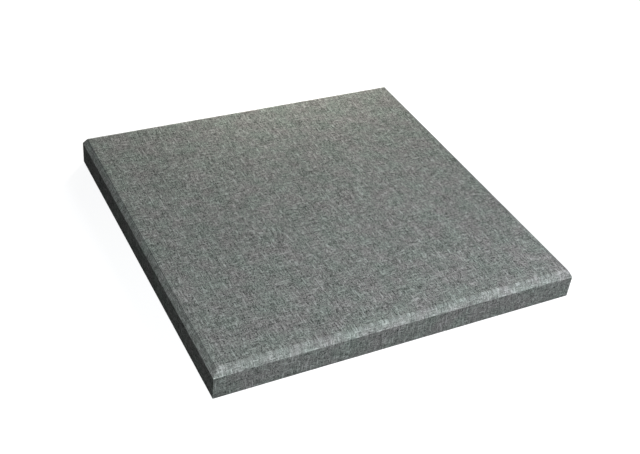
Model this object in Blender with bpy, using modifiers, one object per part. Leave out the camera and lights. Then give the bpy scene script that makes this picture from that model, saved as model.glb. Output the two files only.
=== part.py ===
"""A square acoustic panel: a bevelled timber frame filled with mineral wool and wrapped in cloth.

Metres, +Z up. The panel lies on its back with the cloth face up. +Y is the edge that is
uppermost when it hangs on a wall, and the origin is the middle of its back.
"""

import math

import bmesh
import bpy
from mathutils import Matrix, Vector

# Overall size: width along X, height along Y as it hangs, thickness along Z
PANEL_WIDTH = 0.610
PANEL_HEIGHT = 0.610
PANEL_THICKNESS = 0.0508

# The bevel round the front: how far it comes in over the face, and down the sides
BEVEL_INSET = 0.0085
BEVEL_DROP = 0.0110

# Clearance that pieces which touch keep to each other
FIT = 0.0003

# Sheets: the cloth and its hem on the back, the glass tissue, and the non-woven back cover
CLOTH_THICKNESS = 0.0012
HEM_WIDTH = 0.032
TISSUE_THICKNESS = 0.0005
BACK_COVER_THICKNESS = 0.0005
BACK_COVER_MARGIN = 0.006

# Timber rails, and the bow-tie keys let into the back of their mitres
RAIL_WIDTH = 0.022
KEY_LENGTH = 0.014
KEY_WING_WIDTH = 0.007
KEY_WAIST_WIDTH = 0.0035
KEY_DEPTH = 0.020

# Keyhole plates on the side rails, with the room behind each for a wall screw's head
PLATE_LENGTH = 0.046
PLATE_WIDTH = 0.016
PLATE_THICKNESS = 0.0018
PLATE_CORNER_RADIUS = 0.004
PLATE_FROM_TOP = 0.105
ENTRY_DIAMETER = 0.0095
SLOT_WIDTH = 0.005
SLOT_RISE = 0.012
POCKET_MARGIN = 0.00075
POCKET_DEPTH = 0.008

# Countersunk screws, one near each end of a plate
SCREW_FROM_END = 0.006
SCREW_LENGTH = 0.016
SCREW_DIAMETER = 0.003
SCREW_POINT_LENGTH = 0.004
SCREW_HEAD_DIAMETER = 0.006
SCREW_SUNK = 0.0001
RECESS_SPAN = 0.0034
RECESS_BLADE = 0.0009
RECESS_DEPTH = 0.0012

# Staples: size of the wire and its bend, and how they are spread along a side
STAPLE_CROWN = 0.010
STAPLE_LEG = 0.010
STAPLE_POINT = 0.0008
WIRE_WIDTH = 0.00075
WIRE_THICKNESS = 0.00055
STAPLE_SUNK = 0.0001
STAPLES_PER_SIDE = 8
STAPLE_FROM_CORNER = 0.035
STAPLE_BESIDE_PLATE = 0.003

# Straight pieces in a full turn of a round shape, how close points may be before they merge,
# and the angle from which an edge is shaded sharp
ROUND_STEPS = 24
MERGE_DISTANCE = 0.00001
SHARP_DEGREES = 30

# Heights, from the back up to the front
back_cover_low = CLOTH_THICKNESS + FIT
frame_back = back_cover_low + BACK_COVER_THICKNESS + FIT
tissue_top = PANEL_THICKNESS - CLOTH_THICKNESS - FIT
tissue_low = tissue_top - TISSUE_THICKNESS
frame_front = tissue_low - FIT
plate_outer = frame_back - FIT - PLATE_THICKNESS

# Depths, from a side face of the panel inwards
rail_outer = CLOTH_THICKNESS + FIT
rail_inner = rail_outer + RAIL_WIDTH
rail_middle = rail_outer + RAIL_WIDTH / 2
core_edge = rail_inner + FIT
back_cover_edge = rail_outer + BACK_COVER_MARGIN
pocket_width = ENTRY_DIAMETER + 2 * POCKET_MARGIN
pocket_length = SLOT_RISE + pocket_width

half_width = PANEL_WIDTH / 2
half_height = PANEL_HEIGHT / 2
plate_y = half_height - PLATE_FROM_TOP

# Each side: its turn about Z from the bottom side, its distance from the middle, half its length
SIDES = {
    "bottom": (0, half_height, half_width),
    "right": (90, half_width, half_height),
    "top": (180, half_height, half_width),
    "left": (270, half_width, half_height),
}

# Where each plate's middle lies along its own side
plate_along = {"right": plate_y, "left": -plate_y}


def bevel_depth(height, offset):
    """Depth in from the side face, at a height, of the bevel's plane moved inwards by an offset."""
    slope_length = math.hypot(BEVEL_INSET, BEVEL_DROP)
    rise = height - (PANEL_THICKNESS - BEVEL_DROP)
    return (offset * slope_length + rise * BEVEL_INSET) / BEVEL_DROP


def bevel_height(depth, offset):
    """Height, at a depth in from the side face, of the bevel's plane moved inwards by an offset."""
    slope_length = math.hypot(BEVEL_INSET, BEVEL_DROP)
    return PANEL_THICKNESS - BEVEL_DROP + (depth * BEVEL_DROP - offset * slope_length) / BEVEL_INSET


def clear_scene():
    """Removes whatever the file opened with, with the meshes, materials and collections."""
    for stored in (bpy.data.objects, bpy.data.meshes, bpy.data.materials, bpy.data.collections):
        for item in list(stored):
            stored.remove(item)


def make_collection(name, parent):
    """A collection inside another."""
    collection = bpy.data.collections.new(name)
    parent.children.link(collection)
    return collection


def make_material(name, colour, roughness, metallic=0.0):
    """A plain material with the colour, roughness and metallic value of the real finish."""
    material = bpy.data.materials.new(name)
    material.use_nodes = True
    shader = material.node_tree.nodes["Principled BSDF"]
    shader.inputs["Base Color"].default_value = (*colour, 1.0)
    shader.inputs["Roughness"].default_value = roughness
    shader.inputs["Metallic"].default_value = metallic
    material.diffuse_color = (*colour, 1.0)
    return material


def add_part(name, mesh, material):
    """A sub-part: a named object of the panel with its own material."""
    part = bpy.data.objects.new(name, mesh)
    if not mesh.materials:
        mesh.materials.append(material)
    panel_collection.objects.link(part)
    return part


def add_cutter(name, mesh, collection=None):
    """A shape that only cuts others, or that a part's mesh is made from."""
    cutter = bpy.data.objects.new(name, mesh)
    cutter.hide_render = True
    cutter.display_type = "WIRE"
    (collection or cutter_collection).objects.link(cutter)
    return cutter


def place(part, location, turn=0.0):
    """Sets a part's place and its turn about Z in degrees."""
    part.location = location
    part.rotation_euler = (0, 0, math.radians(turn))
    return part


def place_on_side(part, side, along, depth, height, extra_turn=0.0):
    """Places a part by its place along a side, its depth in from the side face and its height."""
    turn, reach, _ = SIDES[side]
    spot = Matrix.Rotation(math.radians(turn), 4, "Z") @ Vector((along, depth - reach, height))
    return place(part, spot, turn + extra_turn)


def cut(part, cutter):
    """Cuts a shape, or every shape of a collection, out of a part."""
    modifier = part.modifiers.new("cut", "BOOLEAN")
    modifier.operation = "DIFFERENCE"
    modifier.solver = "EXACT"
    if isinstance(cutter, bpy.types.Collection):
        modifier.operand_type = "COLLECTION"
        modifier.collection = cutter
    else:
        modifier.object = cutter


def baked(shape):
    """The mesh that a shape's modifiers give, shaded smooth where it is round. The shape goes."""
    depsgraph = bpy.context.evaluated_depsgraph_get()
    mesh = bpy.data.meshes.new_from_object(shape.evaluated_get(depsgraph))
    mesh.name = shape.name
    bpy.data.objects.remove(shape)
    mesh.shade_smooth()
    mesh.set_sharp_from_angle(angle=math.radians(SHARP_DEGREES))
    return mesh


def mesh_from(bm, name):
    """Turns a bmesh with its faces pointing out into a mesh."""
    bmesh.ops.recalc_face_normals(bm, faces=bm.faces)
    mesh = bpy.data.meshes.new(name)
    bm.to_mesh(mesh)
    bm.free()
    return mesh


def prism(name, outline, low, high):
    """A flat outline in X and Y, extruded from one height to another."""
    bm = bmesh.new()
    bm.faces.new([bm.verts.new((x, y, low)) for x, y in outline])
    raised = bmesh.ops.extrude_face_region(bm, geom=bm.faces[:])
    raised_verts = [item for item in raised["geom"] if isinstance(item, bmesh.types.BMVert)]
    bmesh.ops.translate(bm, vec=(0, 0, high - low), verts=raised_verts)
    return mesh_from(bm, name)


def stepped_block(name, levels):
    """A closed block with a rectangular outline at each level: height, half width, half height."""
    bm = bmesh.new()
    low, half_x, half_y = levels[0]
    bmesh.ops.create_grid(bm, x_segments=1, y_segments=1, size=1.0)
    bmesh.ops.scale(bm, vec=(half_x, half_y, 1.0), verts=bm.verts)
    bmesh.ops.translate(bm, vec=(0, 0, low), verts=bm.verts)
    top = next(iter(bm.faces))
    for number, (height, half_x, half_y) in enumerate(levels[1:]):
        raised = bmesh.ops.extrude_face_region(bm, geom=[top])
        if number > 0:
            bmesh.ops.delete(bm, geom=[top], context="FACES_ONLY")
        top = next(item for item in raised["geom"] if isinstance(item, bmesh.types.BMFace))
        for vert in top.verts:
            vert.co = (math.copysign(half_x, vert.co.x), math.copysign(half_y, vert.co.y), height)
    return mesh_from(bm, name)


def slab(name, depth, low, high):
    """A flat block that keeps one depth in from every side face of the panel."""
    outline = (half_width - depth, half_height - depth)
    return stepped_block(name, [(low, *outline), (high, *outline)])


def rounded_outline(half_x, half_y, radius):
    """A rectangle with round corners, or a round-ended slot when the radius is half its width."""
    steps = ROUND_STEPS // 4
    points = []
    for corner, (side_x, side_y) in enumerate(((1, 1), (-1, 1), (-1, -1), (1, -1))):
        centre = Vector((side_x * (half_x - radius), side_y * (half_y - radius)))
        for step in range(steps + 1):
            angle = math.radians(90) * (corner + step / steps)
            point = centre + radius * Vector((math.cos(angle), math.sin(angle)))
            if not points or (point - points[-1]).length > MERGE_DISTANCE:
                points.append(point)
    if (points[0] - points[-1]).length < MERGE_DISTANCE:
        points.pop()
    return points


def keyhole_outline():
    """A round entry with a slot rising from it along Y, its middle halfway up the keyhole."""
    entry_radius = ENTRY_DIAMETER / 2
    slot_radius = SLOT_WIDTH / 2
    entry_y = -SLOT_RISE / 2
    slot_y = SLOT_RISE / 2
    opening = math.asin(slot_radius / entry_radius)
    points = []
    for step in range(ROUND_STEPS + 1):
        angle = math.pi / 2 + opening + (math.tau - 2 * opening) * step / ROUND_STEPS
        points.append((entry_radius * math.cos(angle), entry_y + entry_radius * math.sin(angle)))
    for step in range(ROUND_STEPS // 2 + 1):
        angle = math.pi * step / (ROUND_STEPS // 2)
        points.append((slot_radius * math.cos(angle), slot_y + slot_radius * math.sin(angle)))
    return points


def bow_tie_outline(grow=0.0):
    """A dovetail key seen from the back, with its length along X."""
    end = KEY_LENGTH / 2 + grow
    wing = KEY_WING_WIDTH / 2 + grow
    waist = KEY_WAIST_WIDTH / 2 + grow
    return [(end, -wing), (end, wing), (0, waist), (-end, wing), (-end, -wing), (0, -waist)]


def cross_outline():
    """The cross of a screw's drive recess."""
    span = RECESS_SPAN / 2
    blade = RECESS_BLADE / 2
    arm = [(span, -blade), (span, blade), (blade, blade)]
    points = []
    for quarter in range(4):
        turned = Matrix.Rotation(math.radians(90) * quarter, 2)
        points += [turned @ Vector(point) for point in arm]
    return points


def staple_outline(grow=0.0):
    """A staple in its own plane, crown at the bottom and legs up, as X and height above its crown."""
    half = STAPLE_CROWN / 2
    inner = half - WIRE_THICKNESS
    tip = STAPLE_LEG + grow
    shoulder = tip - STAPLE_POINT
    return [
        (-half - grow, -grow),
        (half + grow, -grow),
        (half + grow, shoulder),
        (inner - grow, tip),
        (inner - grow, WIRE_THICKNESS + grow),
        (-inner + grow, WIRE_THICKNESS + grow),
        (-inner + grow, tip),
        (-half - grow, shoulder),
    ]


def staple_mesh(name, grow=0.0):
    """The staple's outline given the wire's width and stood up, with its legs along +Z."""
    half_wire = WIRE_WIDTH / 2 + grow
    mesh = prism(name, staple_outline(grow), -half_wire, half_wire)
    mesh.transform(Matrix.Rotation(math.radians(90), 4, "X"))
    return mesh


def screw_profile(grow=0.0):
    """Half the section of a countersunk screw, head up at height 0, from its head down to its point."""
    head = SCREW_HEAD_DIAMETER / 2 + grow
    shank = SCREW_DIAMETER / 2 + grow
    head_depth = head - shank
    tip = SCREW_LENGTH + grow
    return [(0, grow), (head, grow), (head, 0), (shank, -head_depth), (shank, SCREW_POINT_LENGTH - tip), (0, -tip)]


def turned(name, profile):
    """A round shape: a profile of radius and height swept about Z."""
    bm = bmesh.new()
    verts = [bm.verts.new((radius, 0, height)) for radius, height in profile]
    for start, end in zip(verts, verts[1:]):
        bm.edges.new((start, end))
    mesh = bpy.data.meshes.new(name)
    bm.to_mesh(mesh)
    bm.free()
    shape = add_cutter(name, mesh)
    sweep = shape.modifiers.new("sweep", "SCREW")
    sweep.axis = "Z"
    sweep.steps = ROUND_STEPS
    sweep.render_steps = ROUND_STEPS
    sweep.use_merge_vertices = True
    sweep.merge_threshold = MERGE_DISTANCE
    return shape


def side_names_round():
    """Each side with the next one round the panel."""
    names = list(SIDES)
    return zip(names, names[1:] + names[:1])


def staple_places(side):
    """Places along a side, evenly spread, with any that a hanger plate covers moved beside it."""
    half_length = SIDES[side][2]
    reach = half_length - STAPLE_FROM_CORNER
    clear = PLATE_LENGTH / 2 + STAPLE_CROWN / 2 + STAPLE_BESIDE_PLATE
    places = []
    for number in range(STAPLES_PER_SIDE):
        along = -reach + 2 * reach * number / (STAPLES_PER_SIDE - 1)
        if side in plate_along:
            off = along - plate_along[side]
            if abs(off) < clear:
                along = plate_along[side] + math.copysign(clear, off)
        places.append(along)
    return places


def make_core():
    """The mineral wool slab that fills the frame."""
    mesh = slab("mineral_wool_core", core_edge, frame_back, frame_front)
    return add_part("mineral_wool_core", mesh, make_material("mineral_wool", (0.36, 0.33, 0.19), 0.95))


def make_front_tissue():
    """The glass tissue over the slab and the front of the rails, cut off where the bevel starts."""
    edge = bevel_depth(tissue_top, CLOTH_THICKNESS + FIT)
    mesh = slab("front_tissue", edge, tissue_low, tissue_top)
    return add_part("front_tissue", mesh, make_material("glass_tissue", (0.70, 0.70, 0.66), 0.85))


def rail_section():
    """A rail's section as depth and height, with its front outer arris planed to the bevel."""
    offset = CLOTH_THICKNESS + FIT
    return [
        (rail_outer, frame_back),
        (rail_inner, frame_back),
        (rail_inner, frame_front),
        (bevel_depth(frame_front, offset), frame_front),
        (rail_outer, bevel_height(rail_outer, offset)),
    ]


def rail_mesh(name, half_length):
    """A rail along X whose ends are mitred: the deeper a point lies, the shorter the rail is there."""
    bm = bmesh.new()
    bm.faces.new([bm.verts.new((-1.0, depth, height)) for depth, height in rail_section()])
    drawn = bmesh.ops.extrude_face_region(bm, geom=bm.faces[:])
    drawn_verts = [item for item in drawn["geom"] if isinstance(item, bmesh.types.BMVert)]
    bmesh.ops.translate(bm, vec=(2.0, 0, 0), verts=drawn_verts)
    mitre_clearance = FIT / math.sqrt(2)
    for vert in bm.verts:
        vert.co.x = math.copysign(half_length - vert.co.y - mitre_clearance, vert.co.x)
    return mesh_from(bm, name)


def make_rails():
    """Four rails, one to a side."""
    material = make_material("pine", (0.62, 0.45, 0.26), 0.6)
    rails = {}
    for side, (_, _, half_length) in SIDES.items():
        name = f"frame_rail_{side}"
        rails[side] = add_part(name, rail_mesh(name, half_length), material)
        place_on_side(rails[side], side, 0, 0, 0)
    return rails


def make_corner_keys(rails):
    """A bow-tie key across each mitre, let into the back of both rails."""
    material = make_material("beech", (0.50, 0.30, 0.16), 0.55)
    key = prism("corner_key", bow_tie_outline(), 0, KEY_DEPTH)
    room = prism("key_room", bow_tie_outline(FIT), -FIT, KEY_DEPTH + FIT)
    for side, next_side in side_names_round():
        corner = SIDES[side][2] - rail_middle
        for shape in (
            add_part(f"corner_key_{side}_{next_side}", key, material),
            add_cutter(f"key_room_{side}_{next_side}", room),
        ):
            place_on_side(shape, side, corner, rail_middle, frame_back, extra_turn=45)
        cut(rails[side], shape)
        cut(rails[next_side], shape)


def make_back_cover():
    """The non-woven sheet that closes the back, under the hem."""
    mesh = slab("back_cover", back_cover_edge, back_cover_low, back_cover_low + BACK_COVER_THICKNESS)
    return add_part("back_cover", mesh, make_material("black_nonwoven", (0.012, 0.012, 0.013), 0.9))


def make_fabric_cover():
    """The cloth: a shell over the face, bevels and sides, with a hem turned in on the back."""
    outer = stepped_block("fabric_cover", [
        (0, half_width, half_height),
        (PANEL_THICKNESS - BEVEL_DROP, half_width, half_height),
        (PANEL_THICKNESS, half_width - BEVEL_INSET, half_height - BEVEL_INSET),
    ])
    cloth = add_part("fabric_cover", outer, make_material("grey_melange_cloth", (0.19, 0.205, 0.195), 0.9))
    inner_front = PANEL_THICKNESS - CLOTH_THICKNESS
    inner_depth = bevel_depth(inner_front, CLOTH_THICKNESS)
    inner = stepped_block("cloth_hollow", [
        (CLOTH_THICKNESS, half_width - CLOTH_THICKNESS, half_height - CLOTH_THICKNESS),
        (
            bevel_height(CLOTH_THICKNESS, CLOTH_THICKNESS),
            half_width - CLOTH_THICKNESS,
            half_height - CLOTH_THICKNESS,
        ),
        (inner_front, half_width - inner_depth, half_height - inner_depth),
    ])
    cut(cloth, add_cutter("cloth_hollow", inner))
    cut(cloth, add_cutter("hem_opening", slab("hem_opening", HEM_WIDTH, -CLOTH_THICKNESS, 2 * CLOTH_THICKNESS)))
    return cloth


def plate_mesh():
    """A plate with round corners and a keyhole, its middle at the origin, its outer face at height 0."""
    outline = rounded_outline(PLATE_WIDTH / 2, PLATE_LENGTH / 2, PLATE_CORNER_RADIUS)
    blank = add_cutter("hanger_plate", prism("plate_blank", outline, 0, PLATE_THICKNESS))
    keyhole = prism("keyhole", keyhole_outline(), -PLATE_THICKNESS, 2 * PLATE_THICKNESS)
    cut(blank, add_cutter("keyhole", keyhole))
    return baked(blank)


def screw_mesh():
    """A countersunk screw with a cross recess, head up at height 0."""
    blank = turned("hanger_screw", screw_profile())
    recess = prism("screw_recess", cross_outline(), -RECESS_DEPTH, RECESS_DEPTH)
    cut(blank, add_cutter("screw_recess", recess))
    return baked(blank)


def make_hangers(rails, back_cover, cloth):
    """A keyhole plate and two screws on each side rail, with the windows, pockets and holes they need."""
    plate_material = make_material("zinc_steel_plate", (0.60, 0.61, 0.62), 0.35, 1.0)
    screw_material = make_material("zinc_steel_screw", (0.66, 0.64, 0.58), 0.3, 1.0)
    plate_shape = plate_mesh()
    screw_shape = screw_mesh()
    screw_room_shape = baked(turned("screw_room", screw_profile(FIT)))
    window = prism(
        "plate_window",
        rounded_outline(PLATE_WIDTH / 2 + FIT, PLATE_LENGTH / 2 + FIT, PLATE_CORNER_RADIUS + FIT),
        -PLATE_THICKNESS,
        frame_back,
    )
    pocket = prism(
        "head_pocket",
        rounded_outline(pocket_width / 2, pocket_length / 2, pocket_width / 2),
        -FIT,
        POCKET_DEPTH,
    )
    for side, way in (("left", -1), ("right", 1)):
        x = way * (half_width - rail_middle)
        plate = add_part(f"hanger_plate_{side}", plate_shape, plate_material)
        place(plate, (x, plate_y, plate_outer))
        opening = place(add_cutter(f"plate_window_{side}", window), (x, plate_y, 0))
        room = place(add_cutter(f"head_pocket_{side}", pocket), (x, plate_y, frame_back))
        cut(cloth, opening)
        cut(back_cover, opening)
        cut(rails[side], room)
        for level, up in (("lower", -1), ("upper", 1)):
            screw_y = plate_y + up * (PLATE_LENGTH / 2 - SCREW_FROM_END)
            spot = (x, screw_y, plate_outer + SCREW_SUNK)
            screw = add_part(f"hanger_screw_{side}_{level}", screw_shape, screw_material)
            screw_room = add_cutter(f"screw_room_{side}_{level}", screw_room_shape)
            for shape in (screw, screw_room):
                shape.location = spot
                shape.rotation_euler = (math.pi, 0, 0)
            cut(plate, screw_room)
            cut(rails[side], screw_room)


def make_staples(rails, back_cover, cloth):
    """A row of staples along each side, through hem and back cover into the rail."""
    material = make_material("galvanised_wire", (0.55, 0.56, 0.57), 0.4, 1.0)
    staple = staple_mesh("staple")
    room = staple_mesh("staple_room", FIT)
    for side in SIDES:
        rooms = make_collection(f"staple_rooms_{side}", cutter_collection)
        for number, along in enumerate(staple_places(side), start=1):
            for shape in (
                add_part(f"staple_{side}_{number}", staple, material),
                add_cutter(f"staple_room_{side}_{number}", room, rooms),
            ):
                place_on_side(shape, side, along, rail_middle, STAPLE_SUNK)
        for piece in (rails[side], back_cover, cloth):
            cut(piece, rooms)


clear_scene()
panel_collection = make_collection("acoustic_panel", bpy.context.scene.collection)
cutter_collection = make_collection("cutters", bpy.context.scene.collection)

make_core()
make_front_tissue()
frame_rails = make_rails()
make_corner_keys(frame_rails)
non_woven_back = make_back_cover()
fabric_cover = make_fabric_cover()
make_hangers(frame_rails, non_woven_back, fabric_cover)
make_staples(frame_rails, non_woven_back, fabric_cover)
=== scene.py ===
import math

import bmesh
import bpy
from mathutils import Matrix, Vector, noise


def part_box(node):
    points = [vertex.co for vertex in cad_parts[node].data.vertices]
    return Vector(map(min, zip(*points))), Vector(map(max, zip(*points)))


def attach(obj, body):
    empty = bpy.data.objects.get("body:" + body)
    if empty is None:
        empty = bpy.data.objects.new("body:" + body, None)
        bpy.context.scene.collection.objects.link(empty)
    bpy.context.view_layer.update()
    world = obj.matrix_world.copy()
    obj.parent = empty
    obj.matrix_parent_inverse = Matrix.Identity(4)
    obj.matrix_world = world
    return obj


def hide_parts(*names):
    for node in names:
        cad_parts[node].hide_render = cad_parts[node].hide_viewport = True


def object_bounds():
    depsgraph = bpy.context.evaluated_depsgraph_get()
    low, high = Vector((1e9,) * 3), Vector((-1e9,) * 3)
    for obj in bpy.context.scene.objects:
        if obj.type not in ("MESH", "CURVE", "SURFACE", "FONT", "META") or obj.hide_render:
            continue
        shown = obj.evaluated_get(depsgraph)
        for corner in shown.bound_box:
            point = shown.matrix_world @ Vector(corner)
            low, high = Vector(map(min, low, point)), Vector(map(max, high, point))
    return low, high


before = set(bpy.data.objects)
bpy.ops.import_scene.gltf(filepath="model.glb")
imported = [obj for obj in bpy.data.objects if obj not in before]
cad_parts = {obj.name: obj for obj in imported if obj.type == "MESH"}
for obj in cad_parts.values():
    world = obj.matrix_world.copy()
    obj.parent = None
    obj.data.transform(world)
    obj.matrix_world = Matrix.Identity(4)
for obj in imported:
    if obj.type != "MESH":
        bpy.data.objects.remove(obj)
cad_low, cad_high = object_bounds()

panel_low, panel_high = Vector(cad_low), Vector(cad_high)
panel_width, panel_height, panel_thickness = panel_high - panel_low
half_width = panel_width / 2
half_height = panel_height / 2

# Camera
# It stands off the corner between the panel's left and bottom edges and looks down across
# the face, turned a little about its own axis.

VIEW_AZIMUTH = -30.57
VIEW_ELEVATION = 37.27
VIEW_ROLL = 6.67
VIEW_DISTANCE = 1.761
VIEW_TARGET = Vector((0.0086, -0.0076, 0.0))
LENS_MM = 58.7
SENSOR_MM = 36.0

azimuth = math.radians(VIEW_AZIMUTH)
elevation = math.radians(VIEW_ELEVATION)
camera_back = Vector((
    math.sin(azimuth) * math.cos(elevation),
    -math.cos(azimuth) * math.cos(elevation),
    math.sin(elevation),
))
camera_right = Vector((math.cos(azimuth), math.sin(azimuth), 0))
camera_up = camera_back.cross(camera_right)
roll = Matrix.Rotation(math.radians(VIEW_ROLL), 3, camera_back)
camera_right = roll @ camera_right
camera_up = roll @ camera_up

camera_data = bpy.data.cameras.new("camera")
camera_data.sensor_fit = "HORIZONTAL"
camera_data.sensor_width = SENSOR_MM
camera_data.lens = LENS_MM
camera = bpy.data.objects.new("camera", camera_data)
bpy.context.scene.collection.objects.link(camera)
axes = Matrix((camera_right, camera_up, camera_back)).transposed()
camera.matrix_world = Matrix.Translation(VIEW_TARGET + camera_back * VIEW_DISTANCE) @ axes.to_4x4()
bpy.context.scene.camera = camera
bpy.context.scene.view_settings.view_transform = "Standard"

# Studio
# A white sweep with three soft boxes: a large one high off the bottom side, a small one near
# the bottom side and a small low one past the top side, in an even dim room. The floor shows
# white and keeps a faint shadow.

KEY_PLACE = Vector((-0.60, -1.83, 1.62))
KEY_SIZE = 0.7
KEY_WATTS = 44.5
KEY_COLOUR = "#F6FBFF"
SIDE_PLACE = Vector((0.46, -0.60, 0.74))
SIDE_SIZE = 0.25
SIDE_WATTS = 4.4
SIDE_COLOUR = "#F5F5FF"
BACK_PLACE = Vector((0.17, 0.70, 0.22))
BACK_SIZE = 0.25
BACK_WATTS = 5.7
BACK_COLOUR = "#FFFAEE"
ROOM_STRENGTH = 0.074
FLOOR_SIZE = 12.0
FLOOR_DROP = 0.0004
# The floor glows less round the panel than further out, so that the shadow shows there
FLOOR_GLOW = 0.80
FLOOR_NEAR = 0.40
FLOOR_FAR = 0.80
FLOOR_LIT = 0.35
FLOOR_BOUNCE = 0.05
WHITE = "#FFFFFF"


def linear(code):
    """An sRGB hex colour as linear red, green, blue and alpha."""
    channels = [int(code[place:place + 2], 16) / 255 for place in (1, 3, 5)]
    return [c / 12.92 if c <= 0.04045 else ((c + 0.055) / 1.055) ** 2.4 for c in channels] + [1.0]


def add_node(tree, kind, inputs=None, **settings):
    """Adds a shader node with its settings, and gives its inputs values or links."""
    node = tree.nodes.new("ShaderNode" + kind)
    for name, value in settings.items():
        setattr(node, name, value)
    for key, value in (inputs or {}).items():
        if isinstance(value, bpy.types.NodeSocket):
            tree.links.new(value, node.inputs[key])
        else:
            node.inputs[key].default_value = value
    return node


def new_material(name):
    """A material with an empty node tree but for its output."""
    material = bpy.data.materials.new(name)
    material.use_nodes = True
    tree = material.node_tree
    tree.nodes.clear()
    return material, tree, add_node(tree, "OutputMaterial")


def soft_box(name, place, size, watts, colour):
    """A square area light that faces the middle of the panel."""
    data = bpy.data.lights.new(name, "AREA")
    data.size = size
    data.energy = watts
    data.color = linear(colour)[:3]
    lamp = bpy.data.objects.new(name, data)
    bpy.context.scene.collection.objects.link(lamp)
    lamp.location = place
    lamp.rotation_euler = (-place).to_track_quat("-Z", "Y").to_euler()
    return lamp


def seen_straight(tree):
    """1 for rays from the camera, a gloss or a clear material, and 0 for scattered light."""
    rays = add_node(tree, "LightPath")
    seen = rays.outputs["Is Camera Ray"]
    for kind in ("Is Glossy Ray", "Is Transmission Ray"):
        seen = add_node(tree, "Math", {0: seen, 1: rays.outputs[kind]}, operation="MAXIMUM")
        seen = seen.outputs[0]
    return seen


soft_box("key_soft_box", KEY_PLACE, KEY_SIZE, KEY_WATTS, KEY_COLOUR)
soft_box("side_soft_box", SIDE_PLACE, SIDE_SIZE, SIDE_WATTS, SIDE_COLOUR)
soft_box("back_soft_box", BACK_PLACE, BACK_SIZE, BACK_WATTS, BACK_COLOUR)

room = bpy.data.worlds.new("room")
room.use_nodes = True
bpy.context.scene.world = room
tree = room.node_tree
tree.nodes.clear()
seen = seen_straight(tree)
strength = add_node(tree, "MapRange", {"Value": seen, "To Min": ROOM_STRENGTH, "To Max": 1.0})
room_light = add_node(tree, "Background", {"Color": linear(WHITE), "Strength": strength.outputs[0]})
add_node(tree, "OutputWorld", {"Surface": room_light.outputs[0]})

floor_material, tree, output = new_material("white_sweep")
seen = seen_straight(tree)
lit = add_node(tree, "MapRange", {"Value": seen, "To Min": FLOOR_BOUNCE, "To Max": FLOOR_LIT})
place = add_node(tree, "TexCoord")
away = add_node(tree, "VectorMath", {0: place.outputs["Object"]}, operation="LENGTH")
glow = add_node(tree, "MapRange", {
    "Value": away.outputs["Value"],
    "From Min": FLOOR_NEAR,
    "From Max": FLOOR_FAR,
    "To Min": FLOOR_GLOW,
    "To Max": 1.0,
})
glow = add_node(tree, "Math", {0: seen, 1: glow.outputs[0]}, operation="MULTIPLY")
matt = add_node(tree, "BsdfDiffuse", {"Color": lit.outputs[0]})
shine = add_node(tree, "Emission", {"Color": linear(WHITE), "Strength": glow.outputs[0]})
both = add_node(tree, "AddShader", {0: matt.outputs[0], 1: shine.outputs[0]})
tree.links.new(both.outputs[0], output.inputs["Surface"])

floor_bm = bmesh.new()
bmesh.ops.create_grid(floor_bm, x_segments=1, y_segments=1, size=FLOOR_SIZE / 2)
bmesh.ops.translate(floor_bm, vec=(0, 0, panel_low.z - FLOOR_DROP), verts=floor_bm.verts)
floor_mesh = bpy.data.meshes.new("floor")
floor_bm.to_mesh(floor_mesh)
floor_bm.free()
floor_mesh.materials.append(floor_material)
floor = bpy.data.objects.new("floor", floor_mesh)
bpy.context.scene.collection.objects.link(floor)

# Timber frame
# Four mitred rails of planed pine, with a beech bow-tie key let into the back of each corner.
# They keep their solids, and the grain runs along each rail.

PINE_PALE = "#E6CFA6"
PINE_DARK = "#C29A63"
PINE_RING_SPACING = 0.0032
BEECH_PALE = "#D9B48C"
BEECH_FLECK = "#B98A62"
BEECH_RING_SPACING = 0.0016
RING_WAVER = 5.0
FIBRE_WIDTH = 0.0006
FIBRE_SHARE = 0.35
FIBRE_DEPTH = 0.00008
# How many times longer the figure is along the grain than across it
GRAIN_STRETCH = 25.0
# A wave texture at scale 1 repeats every 0.314 m
WAVE_REPEAT = math.tau / 20


def planed_timber(name, pale, dark, ring_spacing, turn):
    """Planed timber: rings as bands across the grain, fine fibres along it, and a dull sheen."""
    material, tree, output = new_material(name)
    place = add_node(tree, "TexCoord")
    along = add_node(tree, "Mapping", {
        "Vector": place.outputs["Object"],
        "Rotation": (0, 0, math.radians(turn)),
        "Scale": (1 / GRAIN_STRETCH, 1.0, 1.0),
    })
    rings = add_node(tree, "TexWave", {
        "Vector": along.outputs[0],
        "Scale": WAVE_REPEAT / ring_spacing,
        "Distortion": RING_WAVER,
        "Detail": 2.0,
        "Detail Scale": 0.4,
    }, bands_direction="DIAGONAL")
    fibres = add_node(tree, "TexNoise", {
        "Vector": along.outputs[0],
        "Scale": 1 / FIBRE_WIDTH,
        "Detail": 3.0,
    })
    blend = add_node(tree, "Mix", {
        0: FIBRE_SHARE,
        2: rings.outputs["Fac"],
        3: fibres.outputs["Fac"],
    })
    colour = add_node(tree, "Mix", {
        0: blend.outputs[0],
        6: linear(pale),
        7: linear(dark),
    }, data_type="RGBA")
    relief = add_node(tree, "Bump", {
        "Height": fibres.outputs["Fac"],
        "Distance": FIBRE_DEPTH,
        "Strength": 0.6,
    })
    shader = add_node(tree, "BsdfPrincipled", {
        "Base Color": colour.outputs[2],
        "Roughness": 0.62,
        "IOR": 1.5,
        "Normal": relief.outputs[0],
    })
    tree.links.new(shader.outputs[0], output.inputs["Surface"])
    return material


def give_finish(node, material):
    """Puts one material on a solid that keeps its shape."""
    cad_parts[node].data.materials.clear()
    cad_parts[node].data.materials.append(material)


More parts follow.
